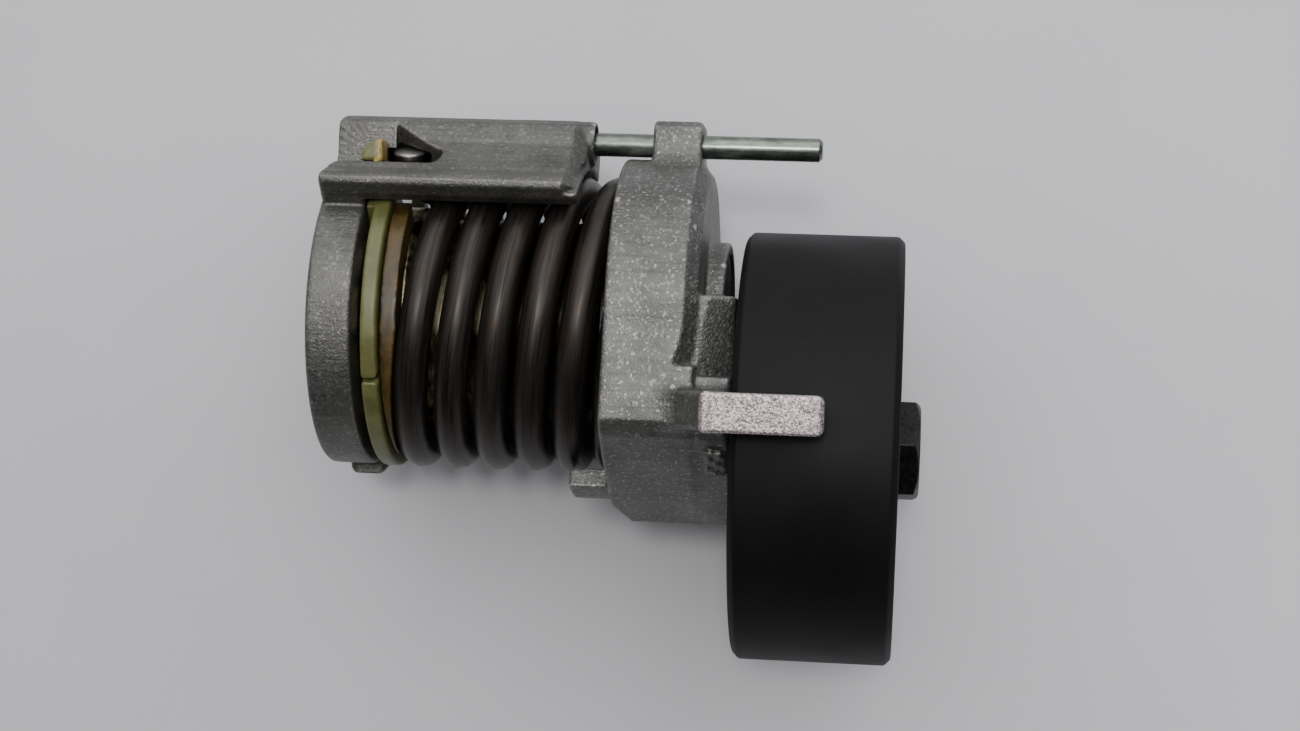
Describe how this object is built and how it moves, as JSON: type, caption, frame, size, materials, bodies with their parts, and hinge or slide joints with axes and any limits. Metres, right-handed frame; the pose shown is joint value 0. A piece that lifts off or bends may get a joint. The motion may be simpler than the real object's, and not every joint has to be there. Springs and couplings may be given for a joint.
{
  "type": "belt tensioner idler",
  "caption": "Spring-loaded belt tensioner: cast base and bridge, exposed torsion spring, swinging arm with wrench lug, smooth idler pulley and lock pin.",
  "frame": {"origin": "the arm's pivot axis where it meets the base's rear mounting face", "axes": "+X along the pivot towards the pulley, +Y towards the bridge and lock pin, +Z towards the wrench lug, up off the bench the part lies on"},
  "size_m": [0.1073, 0.095, 0.0856],
  "materials": {
    "cast_aluminium": "die-cast, grainy, satin",
    "spring_steel": "dark oil-tempered, lengthwise drawing streaks",
    "bright_steel": "ground, lightly greased",
    "zinc": "bright zinc plate",
    "black_oxide": "black oxide",
    "pulley_black": "matte black moulded",
    "cream_nylon": "natural nylon",
    "amber_nylon": "greased amber nylon",
    "bronze": "sintered bronze",
    "black_rubber": "moulded rubber"
  },
  "bodies": {
    "base": {"base_casting": "cast_aluminium", "pivot_shaft": "bright_steel", "spring_guide_sleeve": "bright_steel", "spring_seat_ramp": "amber_nylon", "damper_shoe_upper": "cream_nylon", "damper_shoe_lower": "cream_nylon", "torsion_spring": "spring_steel"},
    "arm": {"arm_casting": "cast_aluminium", "pivot_bush_rear": "bronze", "pivot_bush_front": "bronze", "thrust_washer_rear": "bronze", "thrust_washer_front": "bronze", "retaining_ring": "bright_steel", "hub_cap": "black_rubber", "pulley_bolt": "black_oxide", "bolt_washer": "zinc", "front_dust_shield": "zinc", "bearing_inner_ring": "bright_steel"},
    "pulley": {"pulley_rim": "pulley_black", "pulley_hub_disc": "pulley_black", "bearing_outer_ring": "bright_steel", "bearing_seal_rear": "black_rubber", "bearing_seal_front": "black_rubber"},
    "cage": {"ball_cage": "bronze", "bearing_ball_1": "bright_steel", "bearing_ball_2": "bright_steel", "bearing_ball_3": "bright_steel", "bearing_ball_4": "bright_steel", "bearing_ball_5": "bright_steel", "bearing_ball_6": "bright_steel", "bearing_ball_7": "bright_steel", "bearing_ball_8": "bright_steel"},
    "pin": {"lock_pin": "zinc"}
  },
  "joints": [
    {"name": "arm_swing", "type": "hinge", "parent": "base", "child": "arm", "pos_m": [0, 0, 0], "axis": [1, 0, 0], "range_deg": [0, 26], "deforming": ["torsion_spring"]},
    {"name": "pulley_spin", "type": "hinge", "parent": "arm", "child": "pulley", "pos_m": [0.0896, -0.02043, 0], "axis": [1, 0, 0], "continuous": true},
    {"name": "cage_spin", "type": "hinge", "parent": "arm", "child": "cage", "pos_m": [0.0896, -0.02043, 0], "axis": [1, 0, 0], "continuous": true},
    {"name": "pin_pull", "type": "slide", "parent": "arm", "child": "pin", "axis": [1, 0, 0], "range_m": [0, 0.092]}
  ],
  "couplings": [
    {"joint": "cage_spin", "follows": "pulley_spin", "ratio": 0.4},
    {"joint": "pin_pull", "follows": "arm_swing", "m_per_rad": 0.2005}
  ]
}
